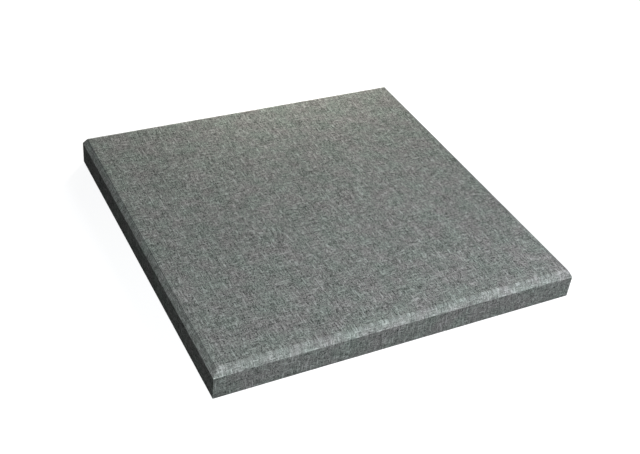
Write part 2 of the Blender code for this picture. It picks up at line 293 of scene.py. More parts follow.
pine_along_x = planed_timber("planed_pine_along_x", PINE_PALE, PINE_DARK, PINE_RING_SPACING, 0)
pine_along_y = planed_timber("planed_pine_along_y", PINE_PALE, PINE_DARK, PINE_RING_SPACING, 90)
beech = planed_timber("planed_beech", BEECH_PALE, BEECH_FLECK, BEECH_RING_SPACING, 45)
for side in ("bottom", "top"):
    give_finish(f"frame_rail_{side}", pine_along_x)
for side in ("left", "right"):
    give_finish(f"frame_rail_{side}", pine_along_y)
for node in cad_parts:
    if node.startswith("corner_key"):
        give_finish(node, beech)

# Mineral wool slab
# A dense board of bonded stone fibres, cut to fill the frame. Its faces are matted fibre,
# and the layers that it was laid in show on its cut edges.

WOOL_PALE = "#B9B183"
WOOL_DARK = "#7E7748"
WOOL_TUFT = 0.009
WOOL_HAIR = 0.0012
WOOL_LAYERS = 3.0
WOOL_DEPTH = 0.0008
WOOL_RELIEF = 0.00025
WOOL_STEP = 0.012
# Most of a noise texture lies between these
NOISE_LOW = 0.35
NOISE_HIGH = 0.65
# Points closer than this are merged
MERGE_DISTANCE = 1e-6


def block_of(node):
    """A closed block as large as a solid's box."""
    low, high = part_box(node)
    bm = bmesh.new()
    bmesh.ops.create_cube(bm, size=1.0)
    bmesh.ops.scale(bm, vec=high - low, verts=bm.verts)
    bmesh.ops.translate(bm, vec=(high + low) / 2, verts=bm.verts)
    return bm


def slice_at(bm, axis, place):
    """Cuts the whole mesh across an axis at one place."""
    normal = Vector((0, 0, 0))
    normal[axis] = 1
    bmesh.ops.bisect_plane(
        bm,
        geom=bm.verts[:] + bm.edges[:] + bm.faces[:],
        dist=MERGE_DISTANCE,
        plane_co=normal * place,
        plane_no=normal,
    )


def slice_evenly(bm, axis, step):
    """Cuts the whole mesh into slices of about one width along an axis."""
    places = [vert.co[axis] for vert in bm.verts]
    low, high = min(places), max(places)
    count = max(1, round((high - low) / step))
    for number in range(1, count):
        slice_at(bm, axis, low + (high - low) * number / count)


def new_piece(bm, name, material):
    """A finished mesh as a piece of the panel, which rides its one body."""
    mesh = bpy.data.meshes.new(name)
    bm.to_mesh(mesh)
    bm.free()
    mesh.materials.append(material)
    piece = bpy.data.objects.new(name, mesh)
    bpy.context.scene.collection.objects.link(piece)
    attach(piece, "root")
    return piece


# Bonded stone fibre: a dull khaki mat of fine hairs in thin layers
wool_material, tree, output = new_material("bonded_mineral_wool")
place = add_node(tree, "TexCoord")
layers = add_node(tree, "Mapping", {
    "Vector": place.outputs["Object"],
    "Scale": (1.0, 1.0, WOOL_LAYERS),
})
tufts = add_node(tree, "TexNoise", {
    "Vector": layers.outputs[0],
    "Scale": 1 / WOOL_TUFT,
    "Detail": 6.0,
    "Distortion": 1.5,
})
hairs = add_node(tree, "TexNoise", {
    "Vector": layers.outputs[0],
    "Scale": 1 / WOOL_HAIR,
    "Detail": 4.0,
    "Distortion": 3.0,
})
mat = add_node(tree, "Mix", {0: 0.5, 2: tufts.outputs["Fac"], 3: hairs.outputs["Fac"]})
mat = add_node(tree, "MapRange", {
    "Value": mat.outputs[0],
    "From Min": NOISE_LOW,
    "From Max": NOISE_HIGH,
})
colour = add_node(tree, "Mix", {
    0: mat.outputs[0],
    6: linear(WOOL_DARK),
    7: linear(WOOL_PALE),
}, data_type="RGBA")
relief = add_node(tree, "Bump", {
    "Height": mat.outputs[0],
    "Distance": WOOL_DEPTH,
    "Strength": 0.8,
})
shader = add_node(tree, "BsdfPrincipled", {
    "Base Color": colour.outputs[2],
    "Roughness": 0.95,
    "Normal": relief.outputs[0],
})
tree.links.new(shader.outputs[0], output.inputs["Surface"])

wool_bm = block_of("mineral_wool_core")
for axis in range(3):
    slice_evenly(wool_bm, axis, WOOL_STEP)
wool_bm.normal_update()
for vert in wool_bm.verts:
    vert.co -= vert.normal * WOOL_RELIEF * (0.5 + 0.5 * noise.noise(vert.co / WOOL_TUFT))
wool = new_piece(wool_bm, "wool_slab", wool_material)
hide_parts("mineral_wool_core")

# Glass tissue
# A thin off-white veil of crossed glass fibres, glued over the slab and the front of the rails.
# It keeps the fibres in and lets the cloth lie flat.

TISSUE_WHITE = "#E4E3DC"
TISSUE_GREY = "#BFBEB6"
TISSUE_FIBRE_LENGTH = 0.012
TISSUE_FIBRE_WIDTH = 0.001
TISSUE_FIBRE_TURNS = (15, 75, 130)
STRAND_FAINT = 0.5
STRAND_FULL = 0.75
TISSUE_DEPTH = 0.0001
TISSUE_STEP = 0.015

# Wet-laid glass fibre: white hairs crossing at random, with a faint glint
tissue_material, tree, output = new_material("glass_tissue")
place = add_node(tree, "TexCoord")
strands = None
for turn in TISSUE_FIBRE_TURNS:
    lay = add_node(tree, "Mapping", {
        "Vector": place.outputs["Object"],
        "Rotation": (0, 0, math.radians(turn)),
        "Scale": (1 / TISSUE_FIBRE_LENGTH, 1 / TISSUE_FIBRE_WIDTH, 1.0),
    })
    fibre = add_node(tree, "TexNoise", {
        "Vector": lay.outputs[0],
        "Scale": 1.0,
        "Detail": 2.0,
        "Distortion": 0.4,
    }).outputs["Fac"]
    if strands is None:
        strands = fibre
    else:
        strands = add_node(tree, "Math", {0: strands, 1: fibre}, operation="MAXIMUM").outputs[0]
strands = add_node(tree, "MapRange", {
    "Value": strands,
    "From Min": STRAND_FAINT,
    "From Max": STRAND_FULL,
})
colour = add_node(tree, "Mix", {
    0: strands.outputs[0],
    6: linear(TISSUE_GREY),
    7: linear(TISSUE_WHITE),
}, data_type="RGBA")
relief = add_node(tree, "Bump", {
    "Height": strands.outputs[0],
    "Distance": TISSUE_DEPTH,
    "Strength": 0.5,
})
shader = add_node(tree, "BsdfPrincipled", {
    "Base Color": colour.outputs[2],
    "Roughness": 0.8,
    "Normal": relief.outputs[0],
})
tree.links.new(shader.outputs[0], output.inputs["Surface"])

tissue_bm = block_of("front_tissue")
for axis in (0, 1):
    slice_evenly(tissue_bm, axis, TISSUE_STEP)
tissue = new_piece(tissue_bm, "tissue_veil", tissue_material)
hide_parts("front_tissue")

# Back cover
# A black spunbonded non-woven sheet across the open back, caught under the hem of the cloth.
# It was bonded by hot pins, which leave rows of small dents, and it is pulled to the staples.

BACK_SHEET_THICKNESS = 0.0003
BACK_SHEET_STEP = 0.010
BACK_PUCKER = 0.0005
BACK_PUCKER_WIDTH = 0.045
BACK_PULL_SHARE = 0.4
BACK_WANDER_LENGTH = 0.05
STAPLE_SPACING = 0.0771
BLACK_FIBRE = "#1B1B1D"
BLACK_WORN = "#303033"
BACK_FIBRE_WIDTH = 0.0009
BACK_CLOUD_WIDTH = 0.012
BACK_CLOUD_SHARE = 0.55
BACK_TONE_LOW = 0.25
BACK_TONE_HIGH = 0.7
BACK_DEPTH = 0.0003
# Real dents are 1 mm apart, and these are 2.4 mm apart so that they show
BOND_SPACING = 0.0024
# A dent's flat bottom and its rim, as shares of the spacing
BOND_BOTTOM = 0.2
BOND_RIM = 0.34
PLATE_GAP = 0.0003
PLATE_CORNER_RADIUS = 0.004
CORNER_STEPS = 6
FINE_MERGE_DISTANCE = 1e-7


def plate_outline(plate, gap):
    """The rounded outline of a hanger plate, widened by a gap, anticlockwise from above."""
    low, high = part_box(plate)
    middle = (low + high) / 2
    radius = PLATE_CORNER_RADIUS + gap
    reach_x = (high[0] - low[0]) / 2 + gap - radius
    reach_y = (high[1] - low[1]) / 2 + gap - radius
    outline = []
    for quarter, (way_x, way_y) in enumerate(((1, 1), (-1, 1), (-1, -1), (1, -1))):
        for step in range(CORNER_STEPS + 1):
            turn = math.radians(90 * (quarter + step / CORNER_STEPS))
            outline.append(Vector((
                middle.x + way_x * reach_x + radius * math.cos(turn),
                middle.y + way_y * reach_y + radius * math.sin(turn),
                0,
            )))
    return outline


def cut_across(bm, faces, place, normal):
    """Cuts some faces along a plane, and gives the faces that they are afterwards."""
    edges = list({edge for face in faces for edge in face.edges})
    verts = list({vert for face in faces for vert in face.verts})
    cut = bmesh.ops.bisect_plane(
        bm,
        geom=verts + edges + faces,
        dist=FINE_MERGE_DISTANCE,
        plane_co=place,
        plane_no=normal,
    )
    return [part for part in cut["geom"] if isinstance(part, bmesh.types.BMFace)]


def cut_hole(bm, faces, outline):
    """Cuts a rounded hole through flat faces, one straight piece of its outline after another."""
    inside = list(faces)
    for start, end in zip(outline, outline[1:] + outline[:1]):
        outward = Vector((end.y - start.y, start.x - end.x, 0))
        parts = cut_across(bm, inside, start, outward)
        inside = [face for face in parts if (face.calc_center_median() - start).dot(outward) < 0]
    bmesh.ops.delete(bm, geom=inside, context="FACES")


plates = [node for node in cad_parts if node.startswith("hanger_plate")]
staple_boxes = [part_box(node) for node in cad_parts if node.startswith("staple")]

# Polypropylene fibre, black all through, flattened to a slight shine where it is bonded
back_material, tree, output = new_material("spunbonded_polypropylene")
place = add_node(tree, "TexCoord")
rows = add_node(tree, "Mapping", {
    "Vector": place.outputs["Object"],
    "Rotation": (0, 0, math.radians(45)),
    "Scale": (1 / BOND_SPACING, 1 / BOND_SPACING, 0.0),
})
dents = add_node(tree, "TexVoronoi", {
    "Vector": rows.outputs[0],
    "Scale": 1.0,
    "Randomness": 0.0,
}, voronoi_dimensions="2D")
dents = add_node(tree, "MapRange", {
    "Value": dents.outputs["Distance"],
    "From Min": BOND_BOTTOM,
    "From Max": BOND_RIM,
})
fibres = add_node(tree, "TexNoise", {
    "Vector": place.outputs["Object"],
    "Scale": 1 / BACK_FIBRE_WIDTH,
    "Detail": 4.0,
    "Distortion": 2.0,
})
clouds = add_node(tree, "TexNoise", {
    "Vector": place.outputs["Object"],
    "Scale": 1 / BACK_CLOUD_WIDTH,
    "Detail": 5.0,
})
tone = add_node(tree, "Mix", {
    0: BACK_CLOUD_SHARE,
    2: fibres.outputs["Fac"],
    3: clouds.outputs["Fac"],
})
tone = add_node(tree, "Math", {0: tone.outputs[0], 1: dents.outputs[0]}, operation="MULTIPLY")
tone = add_node(tree, "MapRange", {
    "Value": tone.outputs[0],
    "From Min": BACK_TONE_LOW,
    "From Max": BACK_TONE_HIGH,
})
colour = add_node(tree, "Mix", {
    0: tone.outputs[0],
    6: linear(BLACK_FIBRE),
    7: linear(BLACK_WORN),
}, data_type="RGBA")
relief = add_node(tree, "Bump", {
    "Height": tone.outputs[0],
    "Distance": BACK_DEPTH,
    "Strength": 0.7,
})
shader = add_node(tree, "BsdfPrincipled", {
    "Base Color": colour.outputs[2],
    "Roughness": 0.7,
    "IOR": 1.49,
    "Normal": relief.outputs[0],
})
tree.links.new(shader.outputs[0], output.inputs["Surface"])

back_low, back_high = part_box("back_cover")
back_size = back_high - back_low
back_level = (back_low[2] + back_high[2]) / 2
back_bm = bmesh.new()
bmesh.ops.create_grid(back_bm, x_segments=1, y_segments=1, size=0.5)
bmesh.ops.scale(back_bm, vec=(back_size[0], back_size[1], 1), verts=back_bm.verts)
for plate in plates:
    cut_hole(back_bm, back_bm.faces, plate_outline(plate, PLATE_GAP))
for axis in (0, 1):
    slice_evenly(back_bm, axis, BACK_SHEET_STEP)
bmesh.ops.reverse_faces(back_bm, faces=back_bm.faces)
for vert in back_bm.verts:
    spot = vert.co.copy()
    to_edge = min(back_size[0] / 2 - abs(spot.x), back_size[1] / 2 - abs(spot.y))
    if abs(spot.x) > abs(spot.y):
        along = spot.y
    else:
        along = spot.x
    fade = math.exp(-max(to_edge, 0) / BACK_PUCKER_WIDTH)
    pull = BACK_PULL_SHARE * math.cos(math.tau * along / STAPLE_SPACING)
    wander = (1 - BACK_PULL_SHARE) * noise.noise(spot / BACK_WANDER_LENGTH)
    vert.co.z = back_level + BACK_PUCKER * (fade * pull + wander * (1 - fade))
bmesh.ops.recalc_face_normals(back_bm, faces=back_bm.faces)
bmesh.ops.solidify(back_bm, geom=back_bm.faces[:], thickness=BACK_SHEET_THICKNESS)
for face in back_bm.faces:
    face.smooth = True
back_sheet = new_piece(back_bm, "back_sheet", back_material)
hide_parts("back_cover")

# Cloth cover
# One piece of grey melange polyester, woven to look like linen, pulled tight over the face,
# the bevels and the sides. Its corners are folded to mitres and its hem is stapled behind.

BEVEL_INSET = 0.0097
BEVEL_DROP = 0.0110
BEVEL_SLOPE = math.hypot(BEVEL_INSET, BEVEL_DROP)
BEVEL_START = half_width - BEVEL_INSET
BEVEL_END = BEVEL_START + BEVEL_SLOPE
SIDE_END = BEVEL_END + panel_thickness - BEVEL_DROP
HEM_WIDTH = 0.032
CLOTH_THICKNESS = 0.0007
CREASE_ANGLE = 0.1
CREASE_RADIUS = 0.0005
CREASE_STEPS = 2
CREASE_HOLD = 0.0008
CLOTH_STEP = 0.006
CLOTH_SIDE_STEP = 0.0072
SLIVER = 0.00001
BACK_EDGE_RADIUS = 0.0012
STAPLE_CUT_REACH = 0.010
STAPLE_DENT = 0.0007
STAPLE_DENT_REACH = 0.004
MITRE_DEPTH = 0.0007
MITRE_REACH = 0.0008
HEM_WANDER = 0.0012
HEM_WANDER_LENGTH = 0.030
WAVE_LONG = 0.00022
WAVE_LONG_LENGTH = 0.085
WAVE_SHORT = 0.00010
WAVE_SHORT_LENGTH = 0.022
WAVE_SHORT_SHIFT = Vector((7, 3, 1))
# How upright the normal of a face is at least if the face is part of the flat front, level by
# a strict and by a loose measure, or turned under at the back
FLAT_FRONT = 0.999
STRICTLY_LEVEL = 0.99
LEVEL = 0.9
TURNED_UNDER = 0.5
# Points as close as this to the back or to the hem's inner edge count as on it
TOUCHING = 0.0001


def hem_faces(bm):
    """The faces that lie flat on the back."""
    bm.normal_update()
    return [face for face in bm.faces if face.normal.z < -STRICTLY_LEVEL]


cloth_bm = bmesh.new()
bmesh.ops.create_cube(cloth_bm, size=1.0)
bmesh.ops.scale(cloth_bm, vec=panel_high - panel_low, verts=cloth_bm.verts)
bmesh.ops.translate(cloth_bm, vec=(panel_high + panel_low) / 2, verts=cloth_bm.verts)
cloth_bm.normal_update()
front = [face for face in cloth_bm.faces if face.normal.z > LEVEL]
bmesh.ops.inset_region(cloth_bm, faces=front, thickness=BEVEL_INSET)
shoulder = [
    vert for vert in cloth_bm.verts
    if vert.co.z > panel_thickness / 2 and abs(vert.co.x) > half_width - BEVEL_INSET / 2
]
bmesh.ops.translate(cloth_bm, vec=(0, 0, -BEVEL_DROP), verts=shoulder)
cloth_bm.normal_update()
back = [face for face in cloth_bm.faces if face.normal.z < -LEVEL]
bmesh.ops.inset_region(cloth_bm, faces=back, thickness=HEM_WIDTH)
bmesh.ops.delete(cloth_bm, geom=back, context="FACES")
cloth_bm.normal_update()
creases = [edge for edge in cloth_bm.edges if edge.calc_face_angle(0) > CREASE_ANGLE]
bmesh.ops.bevel(
    cloth_bm,
    geom=creases,
    offset=CREASE_RADIUS,
    offset_type="OFFSET",
    segments=CREASE_STEPS,
    profile=0.5,
    affect="EDGES",
    material=-1,
)
for plate in plates:
    cut_hole(cloth_bm, hem_faces(cloth_bm), plate_outline(plate, PLATE_GAP))
for axis, step in enumerate((CLOTH_STEP, CLOTH_STEP, CLOTH_SIDE_STEP)):
    slice_evenly(cloth_bm, axis, step)
# A cut close to each side of every crease keeps the faces between the creases flat
shoulder_height = panel_thickness - BEVEL_DROP
inner_hold = BEVEL_INSET - CREASE_HOLD * BEVEL_INSET / BEVEL_SLOPE
upper_hold = shoulder_height + CREASE_HOLD * BEVEL_DROP / BEVEL_SLOPE
for axis, half in ((0, half_width), (1, half_height)):
    for depth in (CREASE_HOLD, inner_hold, BEVEL_INSET + CREASE_HOLD, BACK_EDGE_RADIUS):
        slice_at(cloth_bm, axis, half - depth)
        slice_at(cloth_bm, axis, depth - half)
for height in (CREASE_HOLD, BACK_EDGE_RADIUS, shoulder_height - CREASE_HOLD, upper_hold):
    slice_at(cloth_bm, 2, height)
# Cuts along the mitre at each corner of the hem, and one at each side of it
for way_x, way_y in ((1, 1), (-1, 1), (-1, -1), (1, -1)):
    across = Vector((way_x, -way_y, 0)).normalized()
    for offset in (-MITRE_REACH, 0, MITRE_REACH):
        corner = []
        for face in hem_faces(cloth_bm):
            middle = face.calc_center_median()
            shy_x = half_width - way_x * middle.x
            shy_y = half_height - way_y * middle.y
            if max(shy_x, shy_y) < HEM_WIDTH:
                corner.append(face)
        outer_corner = Vector((way_x * half_width, way_y * half_height, 0))
        cut_across(cloth_bm, corner, outer_corner + across * offset, across)
for low, high in staple_boxes:
    spot = (low + high) / 2
    near = []
    for face in hem_faces(cloth_bm):
        if (face.calc_center_median() - spot).xy.length < STAPLE_CUT_REACH:
            near.append(face)
    near_edges = list({edge for face in near for edge in face.edges})
    bmesh.ops.subdivide_edges(cloth_bm, edges=near_edges, cuts=2, use_grid_fill=True)
# The cuts leave slivers and faces of many corners near the staples and the plates
bmesh.ops.remove_doubles(cloth_bm, verts=cloth_bm.verts, dist=SLIVER)
bmesh.ops.dissolve_degenerate(cloth_bm, edges=cloth_bm.edges, dist=SLIVER)
many_cornered = [face for face in cloth_bm.faces if len(face.verts) > 4]
bmesh.ops.triangulate(cloth_bm, faces=many_cornered, ngon_method="BEAUTY")

# The cut cloth as it lay flat, in metres: across each side the distance runs over the bevel,
# down the side and under the hem, so every thread goes over the edges unbroken
cloth_bm.normal_update()
unfolded = cloth_bm.loops.layers.uv.new("cloth")
for face in cloth_bm.faces:
    lean = face.normal.xy
    if face.normal.z < -LEVEL:
        lean = face.calc_center_median().xy
    for loop in face.loops:
        spot = loop.vert.co
        flat = spot.xy.copy()
        if face.normal.z < FLAT_FRONT:
            axis = 0 if abs(lean.x) > abs(lean.y) else 1
            half = half_height if axis else half_width
            way = 1 if lean[axis] > 0 else -1
            fallen = max(0, panel_thickness - spot.z)
            run = min(abs(spot[axis]), half - BEVEL_INSET)
            run += BEVEL_SLOPE * min(1, fallen / BEVEL_DROP) + max(0, fallen - BEVEL_DROP)
            if face.normal.z < -TURNED_UNDER:
                run = SIDE_END + half - abs(spot[axis])
            flat[axis] = way * run
        loop[unfolded].uv = flat

# The cloth rolls softly over the back edge, waves a little, is drawn in along the mitres and
# under the staples, and its cut edge isn't quite straight
for vert in cloth_bm.verts:
    spot = vert.co.copy()
    for axis, half in ((0, half_width), (1, half_height)):
        past = abs(vert.co[axis]) - half + BACK_EDGE_RADIUS
        deep = Vector((past, BACK_EDGE_RADIUS - vert.co.z))
        if min(deep) > 0 and deep.length > BACK_EDGE_RADIUS:
            deep *= BACK_EDGE_RADIUS / deep.length
            vert.co[axis] = math.copysign(half - BACK_EDGE_RADIUS + deep.x, vert.co[axis])
            vert.co.z = BACK_EDGE_RADIUS - deep.y
    rise = WAVE_LONG * noise.noise(spot / WAVE_LONG_LENGTH)
    rise += WAVE_SHORT * noise.noise(spot / WAVE_SHORT_LENGTH + WAVE_SHORT_SHIFT)
    if spot.z < BACK_EDGE_RADIUS:
        rise = min(rise, 0)
    vert.co += vert.normal * rise
    if spot.z > TOUCHING:
        continue
    shy_x = half_width - abs(spot.x)
    shy_y = half_height - abs(spot.y)
    if min(shy_x, shy_y) > HEM_WIDTH - TOUCHING:
        wander = noise.noise_vector(spot / HEM_WANDER_LENGTH) * HEM_WANDER
        vert.co.xy += wander.xy
    if abs(shy_x - shy_y) < MITRE_REACH / 2:
        vert.co.z += MITRE_DEPTH
    for low, high in staple_boxes:
        gap_x = max(low[0] - spot.x, 0, spot.x - high[0])
        gap_y = max(low[1] - spot.y, 0, spot.y - high[1])
        gap = math.hypot(gap_x, gap_y)
        if gap < STAPLE_DENT_REACH:
            share = 1 - gap / STAPLE_DENT_REACH
            vert.co.z = max(vert.co.z, STAPLE_DENT * share * share * (3 - 2 * share))
for face in cloth_bm.faces:
    face.smooth = True
bmesh.ops.solidify(cloth_bm, geom=cloth_bm.faces[:], thickness=CLOTH_THICKNESS)

# Polyester yarns of uneven, mottled grey in a plain weave, dull all through. The yarns of the
# real cloth are about 0.6 mm apart, and these are wider to show. Their tone changes along each
# yarn in short flecks, over about a centimetre, and a little from yarn to yarn. Thick and thin
# places in the yarns show as light and dark dashes.
WARP_SPACING = 0.0011
WEFT_SPACING = 0.0015
YARN_WANDER = 0.0010
YARN_WANDER_LENGTH = 0.040
YARN_DARK = "#2A2B2A"
YARN_LIGHT = "#BEC1BB"
# Runs along the yarn, and their shares of the tone
FLECKS = ((0.0021, 0.88), (0.0110, 0.36), (0.0900, 0.28))
CLOUD_LENGTH = 0.045
CLOUD_SHARE = 0.03
TONE_MIDDLE = 0.345
TONE_CONTRAST = 1.0
TIGHT_CONTRAST = 0.76
SIDE_CONTRAST = 0.90
CONTRAST_TURN = 0.001
DASH_WIDTH = 0.0017
DASH_RUN = 0.0130
DASH_START = 0.17
DASH_FULL = 0.27
DASH_COVER = 0.34
DASH_LIGHT = "#C9CCC8"
DASH_DARK = "#343534"
GREEN_CAST = "#F7FFFB"
MAUVE_CAST = "#FFFBFD"
CAST_LENGTH = 0.038
WEAVE_DEPTH = 0.00012
# Steps and starts in the noise, which keep yarns, dashes and flecks unlike each other
WARP_SEED = 11.3
WEFT_SEED = 47.9
YARN_JUMP = 3.71
DASH_JUMP = 5.37
FLECK_JUMP = 1000
# Over the bevel the cloth's colour is made paler, a painted sheen, and palest on its lower
# crease near the corners, a painted highlight
BEVEL_PAINTED_SHEEN = 0.37
BEVEL_TURN = 0.0008
BEVEL_CRISP = 0.0004
# On the bottom and top sides the painted sheen starts further in towards their left ends
BEVEL_EARLY = 0.0012
# On the left and right sides the painted sheen starts a little below the upper crease
BEVEL_LATE = 0.0018
# A painted highlight along the lower crease near the corners: how much paler, how wide, and how far
# from the corner it runs
CREASE_PAINTED_HIGHLIGHT = 1.5
CREASE_HIGHLIGHT_WIDTH = 0.0012
CREASE_HIGHLIGHT_RUN = 0.040

cloth_material, tree, output = new_material("melange_woven_polyester")
flat_place = add_node(tree, "UVMap", uv_map="cloth").outputs[0]
drift = add_node(tree, "TexNoise", {
    "Vector": flat_place,
    "Scale": 1 / YARN_WANDER_LENGTH,
    "Detail": 0.0,
}).outputs["Color"]
drift = add_node(tree, "VectorMath", {0: drift, 1: (0.5, 0.5, 0.5)}, operation="SUBTRACT")
drift = add_node(tree, "VectorMath", {0: drift.outputs[0], "Scale": YARN_WANDER}, operation="SCALE")
drift = add_node(tree, "VectorMath", {0: flat_place, 1: drift.outputs[0]}, operation="ADD")
spread = add_node(tree, "SeparateXYZ", {0: drift.outputs[0]}).outputs
tone = add_node(tree, "TexNoise", {
    "Vector": flat_place,
    "Scale": 1 / CLOUD_LENGTH,
    "Detail": 2.0,
}).outputs["Fac"]
tone = add_node(tree, "Math", {
    0: tone,
    1: CLOUD_SHARE,
    2: -0.5 * CLOUD_SHARE,
}, operation="MULTIPLY_ADD").outputs[0]
indices = []
round_tops = []
dashes = []
for across, along, spacing, seed in (
    ("X", "Y", WARP_SPACING, WARP_SEED),
    ("Y", "X", WEFT_SPACING, WEFT_SEED),
):
    number = add_node(tree, "Math", {0: spread[across], 1: spacing}, operation="DIVIDE").outputs[0]
    index = add_node(tree, "Math", {0: number}, operation="FLOOR").outputs[0]
    indices.append(index)
    inside = add_node(tree, "Math", {0: number}, operation="FRACT").outputs[0]
    inside = add_node(tree, "Math", {0: inside, 1: math.pi}, operation="MULTIPLY").outputs[0]
    round_tops.append(add_node(tree, "Math", {0: inside}, operation="SINE").outputs[0])
    row = add_node(tree, "Math", {
        0: index,
        1: YARN_JUMP,
        2: seed,
    }, operation="MULTIPLY_ADD").outputs[0]
    for run, share in FLECKS:
        step = add_node(tree, "Math", {0: spread[along], 1: 1 / run}, operation="MULTIPLY")
        spot = add_node(tree, "CombineXYZ", {
            "X": row,
            "Y": step.outputs[0],
            "Z": seed + FLECK_JUMP * run,
        })
        fleck = add_node(tree, "TexNoise", {"Vector": spot.outputs[0], "Scale": 1.0, "Detail": 1.0})
        tone = add_node(tree, "Math", {
            0: fleck.outputs["Fac"],
            1: share,
            2: tone,
        }, operation="MULTIPLY_ADD").outputs[0]
        tone = add_node(tree, "Math", {0: tone, 1: 0.5 * share}, operation="SUBTRACT").outputs[0]
    lane = add_node(tree, "Math", {0: spread[across], 1: DASH_WIDTH}, operation="DIVIDE")
    lane = add_node(tree, "Math", {0: lane.outputs[0]}, operation="FLOOR")
    lane = add_node(tree, "Math", {
        0: lane.outputs[0],
        1: DASH_JUMP,
        2: seed,
    }, operation="MULTIPLY_ADD")
    step = add_node(tree, "Math", {0: spread[along], 1: 1 / DASH_RUN}, operation="MULTIPLY")
    spot = add_node(tree, "CombineXYZ", {"X": lane.outputs[0], "Y": step.outputs[0], "Z": seed})
    dash = add_node(tree, "TexNoise", {"Vector": spot.outputs[0], "Scale": 1.0, "Detail": 0.0})
    dashes.append(dash.outputs["Fac"])
thick = add_node(tree, "Math", {0: dashes[0], 1: dashes[1]}, operation="MAXIMUM").outputs[0]
thin = add_node(tree, "Math", {0: dashes[0], 1: dashes[1]}, operation="MINIMUM").outputs[0]

# How far from the middle a point lies across its side, and how far along it
flat_sides = add_node(tree, "VectorMath", {0: flat_place}, operation="ABSOLUTE").outputs[0]
flat_sides = add_node(tree, "SeparateXYZ", {0: flat_sides}).outputs
flat_pair = {0: flat_sides["X"], 1: flat_sides["Y"]}
reach = add_node(tree, "Math", flat_pair, operation="MAXIMUM").outputs[0]
sideways = add_node(tree, "Math", flat_pair, operation="MINIMUM").outputs[0]
on_left_or_right = add_node(tree, "Math", flat_pair, operation="GREATER_THAN").outputs[0]
contrast = add_node(tree, "MapRange", {
    "Value": reach,
    "From Min": BEVEL_START,
    "From Max": BEVEL_START + CONTRAST_TURN,
    "To Min": TONE_CONTRAST,
    "To Max": TIGHT_CONTRAST,
}).outputs[0]
contrast = add_node(tree, "MapRange", {
    "Value": reach,
    "From Min": BEVEL_END,
    "From Max": BEVEL_END + CONTRAST_TURN,
    "To Min": contrast,
    "To Max": SIDE_CONTRAST,
}).outputs[0]
tone = add_node(tree, "Math", {
    0: tone,
    1: contrast,
    2: TONE_MIDDLE,
}, operation="MULTIPLY_ADD", use_clamp=True).outputs[0]
thick = add_node(tree, "MapRange", {
    "Value": thick,
    "From Min": 0.5 + DASH_START,
    "From Max": 0.5 + DASH_FULL,
    "To Max": DASH_COVER,
}).outputs[0]
thin = add_node(tree, "MapRange", {
    "Value": thin,
    "From Min": 0.5 - DASH_START,
    "From Max": 0.5 - DASH_FULL,
    "To Max": DASH_COVER,
}).outputs[0]
parity = add_node(tree, "Math", {0: indices[0], 1: indices[1]}, operation="ADD").outputs[0]
parity = add_node(tree, "Math", {0: parity, 1: 2.0}, operation="FLOORED_MODULO").outputs[0]
height = add_node(tree, "Mix", {0: parity, 2: round_tops[0], 3: round_tops[1]}).outputs[0]
height = add_node(tree, "Math", {0: height, 1: thick}, operation="ADD").outputs[0]
colour = add_node(tree, "Mix", {
    0: tone,
    6: linear(YARN_DARK),
    7: linear(YARN_LIGHT),
}, data_type="RGBA").outputs[2]
for cover, shade in ((thin, DASH_DARK), (thick, DASH_LIGHT)):
    colour = add_node(tree, "Mix", {0: cover, 6: colour, 7: linear(shade)}, data_type="RGBA")
    colour = colour.outputs[2]
cast = add_node(tree, "TexNoise", {
    "Vector": flat_place,
    "Scale": 1 / CAST_LENGTH,
    "Detail": 2.0,
})
cast = add_node(tree, "MapRange", {
    "Value": cast.outputs["Fac"],
    "From Min": NOISE_LOW,
    "From Max": NOISE_HIGH,
})
cast = add_node(tree, "Mix", {
    0: cast.outputs[0],
    6: linear(GREEN_CAST),
    7: linear(MAUVE_CAST),
}, data_type="RGBA").outputs[2]
colour = add_node(tree, "VectorMath", {0: colour, 1: cast}, operation="MULTIPLY").outputs[0]

# Painted sheen: the colour is scaled paler over the bevels, between the upper and the lower crease
flat_x = add_node(tree, "SeparateXYZ", {0: flat_place}).outputs["X"]
early = add_node(tree, "MapRange", {
    "Value": flat_x,
    "From Min": -half_width,
    "From Max": half_width,
    "To Min": BEVEL_EARLY,
    "To Max": 0.0,
}).outputs[0]
early = add_node(tree, "Mix", {0: on_left_or_right, 2: early, 3: -BEVEL_LATE}).outputs[0]
early = add_node(tree, "Math", {0: early, 1: reach}, operation="ADD").outputs[0]
painted_bevel_sheen = add_node(tree, "MapRange", {
    "Value": early,
    "From Min": BEVEL_START,
    "From Max": BEVEL_START + BEVEL_CRISP,
    "To Min": 0.0,
    "To Max": BEVEL_PAINTED_SHEEN,
}).outputs[0]
painted_bevel_sheen = add_node(tree, "MapRange", {
    "Value": reach,
    "From Min": BEVEL_END - BEVEL_TURN,
    "From Max": BEVEL_END,
    "To Min": painted_bevel_sheen,
    "To Max": 0.0,
}).outputs[0]
painted_bevel_sheen = add_node(tree, "Math", {0: painted_bevel_sheen, 1: 1.0}, operation="ADD").outputs[0]
# Painted highlight: a pale line along the lower crease, fading out away from the corners
painted_crease_highlight = add_node(tree, "Math", {0: reach, 1: BEVEL_END}, operation="SUBTRACT").outputs[0]
painted_crease_highlight = add_node(tree, "Math", {0: painted_crease_highlight}, operation="ABSOLUTE").outputs[0]
painted_crease_highlight = add_node(tree, "MapRange", {
    "Value": painted_crease_highlight,
    "From Min": 0.0,
    "From Max": CREASE_HIGHLIGHT_WIDTH,
    "To Min": CREASE_PAINTED_HIGHLIGHT,
    "To Max": 0.0,
}).outputs[0]
cornered = add_node(tree, "MapRange", {
    "Value": sideways,
    "From Min": half_width - CREASE_HIGHLIGHT_RUN,
    "From Max": half_width,
}).outputs[0]
